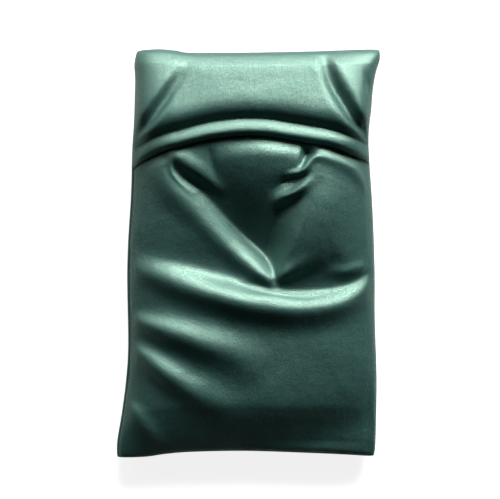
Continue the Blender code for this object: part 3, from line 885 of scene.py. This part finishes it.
def overlock_loops(name, edge, inward, height):
    """A helix round the raw edges: along the edge, half the width times cos a inwards and half the
    height times sin a up, with the turn number and the angle growing together."""
    turns = int(lengths(edge)[-1] / PITCH)
    a = np.linspace(0, turns * 2 * math.pi, turns * LOOP_SAMPLES)
    centre = read_along(edge, a / (2 * math.pi) * PITCH)
    path = centre + np.cos(a)[:, None] * LOOP_WIDTH / 2 * inward + np.sin(a)[:, None] * height / 2 * UP
    return tube(name, path, LOOP_THREAD, 4)


def facing(direction, line):
    """The same direction for each point of a line."""
    return np.repeat(np.array([direction], float), len(line), axis=0)


DOWN = (0, 0, -1)
SEAM_INSET, RAW_EDGE = 2.6, ALLOWANCE - 0.9  # of the stitches and of the loops
seam_threads, overlock_threads = {}, {}
for side, inward in INWARD.items():
    lift, height = (0.55, 4.6) if side in ("left", "right") else (0.0, 3.5)  # more layers at the sides
    line = seam_line(side, SEAM_INSET, SEAM - SEAM_SPACE - VELVET)
    seam_threads[side] = stitch_run(f"{side}_seam_stitches", line, facing(DOWN, line))
    dress(seam_threads[side], GREEN_THREAD)
    edge = seam_line(side, RAW_EDGE, SEAM + lift, reach=0.9)
    inward = np.array(inward, float)
    overlock_threads[side] = overlock_loops(f"{side}_overlock_loops", edge, inward, height)
    dress(overlock_threads[side], GREEN_THREAD)

# %% [markdown]
# ## Pouch
# The pouch is a plain cotton bag, a little smaller than the cover. The back panel takes the shape of
# the velvet over it, because the seed presses it there, and its own seam holds its edges down.

# %% Pouch shape
POUCH_LOW, POUCH_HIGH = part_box("pouch_back_panel")
POUCH_HALF = ((POUCH_HIGH.x - POUCH_LOW.x) / 2 / MM, (POUCH_HIGH.y - POUCH_LOW.y) / 2 / MM)
POUCH_MIDDLE = ((POUCH_HIGH.x + POUCH_LOW.x) / 2 / MM, (POUCH_HIGH.y + POUCH_LOW.y) / 2 / MM)
COTTON = 0.35
ROOM = 2.3  # from the velvet's face down to the cotton's
DOME = 20  # as high as the pouch could bulge if the cover let it
SOFTEN = 0.8  # how gently the dome goes over into the velvet's shape


def pouch_plan(p, q):
    """A rectangle whose corners are rounded by a term in (p q)^20 and whose sides are drawn in 2 mm."""
    corner = 1 - 0.04 * np.abs(p * q) ** 20
    x = POUCH_MIDDLE[0] + POUCH_HALF[0] * p * corner - 2.0 * p * (1 - q**2)
    y = POUCH_MIDDLE[1] + POUCH_HALF[1] * q * corner - 1.2 * q * (1 - p**2)
    return x, y


def back_to_cover(x, y):
    """The places u and v on the cover of a point seen from above."""
    left, right = side_at(y, -1), side_at(y, 1)
    bottom, top = end_at(x, -1), end_at(x, 1)
    return 2 * (x - left) / (right - left) - 1, 2 * (y - bottom) / (top - bottom) - 1


def pouch_back_height(x, y, p, q):
    """The lower of two heights: the velvet less ROOM, and a dome on the pouch's own seam."""
    u, v = back_to_cover(x, y)
    cover = lower_height(x, y, u, v) - ROOM
    bulge = np.sqrt(np.clip(1 - np.abs(p) ** 2.6, 0, 1)) * np.sqrt(np.clip(1 - np.abs(q) ** 5, 0, 1))
    dome = SEAM + 0.8 + DOME * bulge
    return -np.logaddexp(-cover / SOFTEN, -dome / SOFTEN) * SOFTEN


def pouch_front_height(x, y, p, q):
    """1.6 above the table, and the rise of a round edge to just under the seam."""
    t = np.clip((np.maximum(np.abs(p), np.abs(q) ** 1.5) - 0.55) / 0.45, 0, 1)
    return VELVET + 0.6 + (SEAM - 2.4) * (1 - np.sqrt(1 - t**2.4))


print("pouch", [round(2 * half, 1) for half in POUCH_HALF], "mm")

# %% [markdown]
# ## Cotton
# Plain cotton is a weave of threads one over one. Two sets of waves at right angles, of which the
# higher one shows, make it, and noise stretched along one set gives the slubs.


# %% Pouch material
def cotton(name, light, dark):
    material, tree, shader = new_material(name)
    cloth = cloth_map(tree)
    slubs = noise(stretched(cloth, (1.0, 0.15, 1.0)), 420, 3, 0.6)
    warp, weft = [wave(cloth, direction, 560, 0.6, 1.0) for direction in "XY"]
    weave = combine("MAXIMUM", warp, weft)
    tone = combine("MULTIPLY_ADD", weave, 0.5, to_range(slubs, 0.0, 0.5))
    feed(shader, {
        "Base Color": ramp(tone, [(0.2, dark), (0.9, light)]),
        "Roughness": to_range(slubs, 0.7, 0.9),
        "Normal": bump(slubs, 0.0002, 0.4, bump(weave, 0.00015, 0.7)),
        "Sheen Weight": 0.2,
    })
    return material


COTTON_CLOTH = cotton("unbleached_cotton", (0.80, 0.75, 0.65), (0.52, 0.46, 0.36))
print(COTTON_CLOTH.name, len(COTTON_CLOTH.node_tree.nodes), "nodes")

# %% [markdown]
# ## Pouch panels
# Both panels are made as the velvet ones are, with a narrower allowance and a smaller roll.

# %% Pouch panels
POUCH_ROLL, POUCH_ALLOWANCE = 0.5, 4.0


def pouch_panel(name, height, face):
    u, v = np.meshgrid(spaced(84, crowd=0.5), spaced(130, crowd=0.4))
    surface = turned(
        u, v, height, face, outline=pouch_plan, roll=POUCH_ROLL, allowance=POUCH_ALLOWANCE)
    cloth = np.stack([u * POUCH_HALF[0], v * POUCH_HALF[1]], axis=-1)
    order = slice(None, None, face)  # the lower panel's rows in reverse, so that its face looks down
    return dress(thicken(grid_mesh(name, surface[order], cloth[order]), COTTON), COTTON_CLOTH)


pouch_back = pouch_panel("pouch_back_cotton", pouch_back_height, 1)
pouch_front = pouch_panel("pouch_front_cotton", pouch_front_height, -1)

# %% [markdown]
# ## Pouch seams
# Three sides are sewn by machine from the inside. The fourth is closed by hand after filling, with
# slanted whip stitches that go over the edge.

# %% Pouch stitches
machine = np.concatenate([
    seam_line(side, 1.0, SEAM - SEAM_SPACE - COTTON, pouch_plan, 120, 0.94)[::order]
    for side, order in (("left", -1), ("bottom", 1), ("right", 1))
])
pouch_seam = stitch_run("pouch_seam_stitches", machine, facing(DOWN, machine), 2.2, 0.4, 0.16)
dress(pouch_seam, PALE_THREAD)
WHIP_SPACE = 3.4
whip = seam_line("top", -0.35, SEAM, pouch_plan, 120, 0.95)
centre = read_along(whip, np.arange(2, lengths(whip)[-1] - 2, WHIP_SPACE))
slant, outward = facing((0.42, 0.0, 0.907), centre), facing((0, 1, 0), centre)
pouch_closing = spindles("pouch_closing_stitches", centre, slant, outward, 1.5, 0.2, 0.15)
dress(pouch_closing, PALE_THREAD)

# %% [markdown]
# ## Seed
# Flax seed packs into one body that takes the pouch's shape from inside. Its surface is thousands of
# small flat seeds. A cell pattern in the material, stretched to a seed's shape, gives each one its own
# tone and edge, and the surface itself is lightly lumpy.

# %% Seed body
FILL_SHARE = (0.93, 0.955)  # of the pouch's half sizes
RING, RINGS_ALONG = 96, 120


def seed_surface():
    """Closed rings along the pouch. At the angle a, the place across is cos a, and the height is the
    upper skin for sin a above 0 and the lower one below it, eased by |sin a|^0.45; the rings shrink
    to the two ends as (1 - q^8)^0.5. Two crossed waves of 0.25 mm make the surface lumpy."""
    angle = np.linspace(0, 2 * math.pi, RING, endpoint=False)
    q = np.sin(np.linspace(-0.5, 0.5, RINGS_ALONG) * math.pi)[:, None]
    end = np.sqrt(np.clip(1 - q**8, 0.0004, 1))
    p = np.sign(np.cos(angle)) * np.abs(np.cos(angle)) ** 0.8 * (0.35 + 0.65 * end)
    p, q = p * FILL_SHARE[0], np.repeat(q, RING, axis=1) * FILL_SHARE[1]
    x, y = pouch_plan(p, q)
    top = pouch_back_height(x, y, p, q) - 1.0
    base = pouch_front_height(x, y, p, q) + 0.9
    rise = np.abs(np.sin(angle)) ** 0.45 * end
    middle = SEAM + 0.2
    z = np.where(np.sin(angle) > 0, middle + (top - middle) * rise, middle - (middle - base) * rise)
    waves = np.sin(x * 0.9 + 1.3 * np.sin(y * 0.41)) * np.sin(y * 0.8 + 1.1 * np.sin(x * 0.37))
    lump = 0.25 * (waves - 1)
    return np.stack([x, y, z + np.sign(np.sin(angle)) * lump * rise], axis=-1)


def seeds(name):
    material, tree, shader = new_material(name)
    place = object_map(tree)
    turned_place = stretched(place, (1.0, 0.5, 0.8), 0.6)
    cells = after(place, "TexVoronoi", {"Scale": 420, "Vector": turned_place})
    split = after(place, "SeparateColor", {"Color": cells.outputs["Color"]})
    wobble = to_range(noise(place, 120, 2, 0.5), 0.0, 0.3)
    tone = combine("MULTIPLY_ADD", split.outputs["Red"], 0.7, wobble)
    stops = [(0.0, (0.10, 0.035, 0.012)), (0.5, (0.22, 0.09, 0.03)), (1.0, (0.40, 0.20, 0.08))]
    distance = cells.outputs["Distance"]
    feed(shader, {
        "Base Color": ramp(tone, stops),
        "Roughness": to_range(distance, 0.22, 0.6),
        "Normal": bump(to_range(distance, 1.0, 0.0), 0.0012, 1.0),
    })
    return material


fill = dress(grid_mesh("flax_seed", seed_surface()[:, ::-1], ring=True), seeds("flax_seeds"))

# %% [markdown]
# ## What each piece belongs to
# Each piece rides on the body that its solid rides on, and stands for that solid. The flap is fixed
# along its top and sides and free at its hem. So the share of the lift that a point takes grows from
# nothing at the seams to all of it at the middle of the hem.


# %% Bodies
def lift_share(x, y):
    """(1 - |u|^2.4) across, times the distance from the top seam as a share of the flap's length."""
    u = np.clip(back_to_cover(x, y)[0], -1, 1)
    hinge = HALF_LENGTH - 3
    along = np.clip((hinge - y) / (hinge - FLAP_EDGE), 0, 1)
    return (1 - np.abs(u) ** 2.4) * along


def lift_with_flap(obj):
    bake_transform(obj, "cover", "flap", start=(0, HALF_LENGTH * MM, 0), end=(0, FLAP_EDGE * MM, 0))
    mesh = obj.data
    places = np.empty(len(mesh.vertices) * 3, np.float32)
    mesh.vertices.foreach_get("co", places)
    places = places.reshape(-1, 3).astype(float) / MM
    share = lift_share(places[:, 0], places[:, 1]).astype(np.float32)
    mesh.attributes["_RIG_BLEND"].data.foreach_set("value", share)


still = [  # piece, the CAD node it stands for, and a name for its finish
    (front, "front_panel", "velvet"),
    (lower, "lower_panel", "velvet"),
    (pouch_back, "pouch_back_panel", "cotton"),
    (pouch_front, "pouch_front_panel", "cotton"),
    (fill, "seed_fill", "seeds"),
    (pouch_seam, "pouch_seam_thread", "pale_thread"),
    (pouch_closing, "pouch_closing_thread", "pale_thread"),
    (lower_needle, "lower_hem_needle_thread", "green_thread"),
    (lower_bobbin, "lower_hem_bobbin_thread", "green_thread"),
]
for side in INWARD:
    still.append((seam_threads[side], f"{side}_seam_thread", "green_thread"))
    still.append((overlock_threads[side], f"{side}_overlock_thread", "green_thread"))
lifting = [
    (flap, "flap_panel", "velvet"),
    (flap_needle, "flap_hem_needle_thread", "green_thread"),
    (flap_bobbin, "flap_hem_bobbin_thread", "green_thread"),
]
for piece, node, slot in still + lifting:
    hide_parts(node)
for piece, _, _ in still:
    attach(piece, "cover")
for piece, _, _ in lifting:
    lift_with_flap(piece)
print(len(still), "pieces ride on the cover and", len(lifting), "lift with the flap")

# %% [markdown]
# ## Cut sizes
# Each sheet's cut size is worked out and printed: its finished size, 7 mm for each sewn edge and
# 10 mm for each hem.

# %% Sheets
HEM_TURN = 10.0
wide = 2 * (HALF_WIDTH + ALLOWANCE)
front_cut = (wide, 2 * (HALF_LENGTH + ALLOWANCE))
lower_cut = (wide, HALF_LENGTH + LOWER_END + ALLOWANCE + HEM_TURN)
flap_cut = (wide, HALF_LENGTH - FLAP_EDGE + FREE_EDGE[-1][1] + ALLOWANCE + HEM_TURN)
pouch_cut = (2 * (POUCH_HALF[0] + POUCH_ALLOWANCE), 2 * (POUCH_HALF[1] + POUCH_ALLOWANCE))
cover_threads = [*seam_threads.values(), *overlock_threads.values()]
for piece, cut, held, under, trims in (
    (front, front_cut, "stretched", [pouch_front], cover_threads),
    (lower, lower_cut, "folded", [pouch_back], [lower_needle, lower_bobbin]),
    (flap, flap_cut, "folded", [lower], [flap_needle, flap_bobbin]),
    (pouch_back, pouch_cut, "stretched", [fill], [pouch_closing]),
    (pouch_front, pouch_cut, "stretched", [fill], [pouch_seam]),
):
    print(piece.name, "cut", round(cut[0], 1), "x", round(cut[1], 1), "mm")

# %% [markdown]
# ## Camera
# The camera looks straight down through a long lens, so that the pillow's sides hardly show. Its
# height follows from the lens: field / sensor width is distance / focal length.

# %% Camera
FIELD = 0.25  # metres across the picture
LENS, SENSOR = 135, 36
camera = add_object("camera", bpy.data.cameras.new("camera"))
camera.data.lens = LENS
camera.data.sensor_width = SENSOR
camera.location = (0.00075, 0.002, 0.007 + FIELD * LENS / SENSOR)
bpy.context.scene.camera = camera
print("camera", round(camera.location.z, 3), "m above the table")

# %% [markdown]
# ## Floor
# The floor is the white sheet of a product picture. It glows a little, which keeps it white beside
# the shadow. Light linking lets the glow fall on the floor alone, so the folds stay dark.

# %% Floor
bpy.ops.mesh.primitive_plane_add(size=12, location=(0, 0, -0.0004))
floor = bpy.context.object
floor.name = "floor"
material, _, shader = new_material("floor_white")
feed(shader, {
    "Base Color": (0.30, 0.30, 0.30, 1), "Roughness": 0.9, "Specular IOR Level": 0.0,
    "Emission Color": (1, 1, 1, 1), "Emission Strength": 0.86,
})
dress(floor, material)
glow = bpy.data.collections.new("lit_by_the_floor")
glow.objects.link(floor)
floor.light_linking.receiver_collection = glow

# %% [markdown]
# ## Light
# Low light from beyond the top end draws the folds: each ridge has a bright side and a dark one. A
# second light, far weaker, comes from the other side of north and fills the flap's left end. The
# world is nearly black, because it would fill every fold.


# %% Lights
def soft_light(name, azimuth, elevation, distance, size, power):
    """An area light that looks at the middle of the pillow from an azimuth, east of north."""
    data = bpy.data.lights.new(name, "AREA")
    data.shape = "RECTANGLE"
    data.size, data.size_y = size
    data.energy = power
    light = add_object(name, data)
    a, e = math.radians(azimuth), math.radians(elevation)
    place = Vector((math.sin(a) * math.cos(e), math.cos(a) * math.cos(e), math.sin(e))) * distance
    light.location = place
    light.rotation_mode = "QUATERNION"
    light.rotation_quaternion = place.to_track_quat("Z", "Y")
    print(name, power, "W")


soft_light("window", 15, 24, 1.4, (1.3, 0.5), 53)
soft_light("far_window", -48, 26, 1.4, (1.0, 0.5), 3.5)
world = bpy.data.worlds.new("studio")
world.use_nodes = True
feed(world.node_tree.nodes["Background"], {"Color": (0.75, 0.9, 1.0, 1), "Strength": 0.008})
bpy.context.scene.world = world
bpy.context.scene.view_settings.view_transform = "Standard"
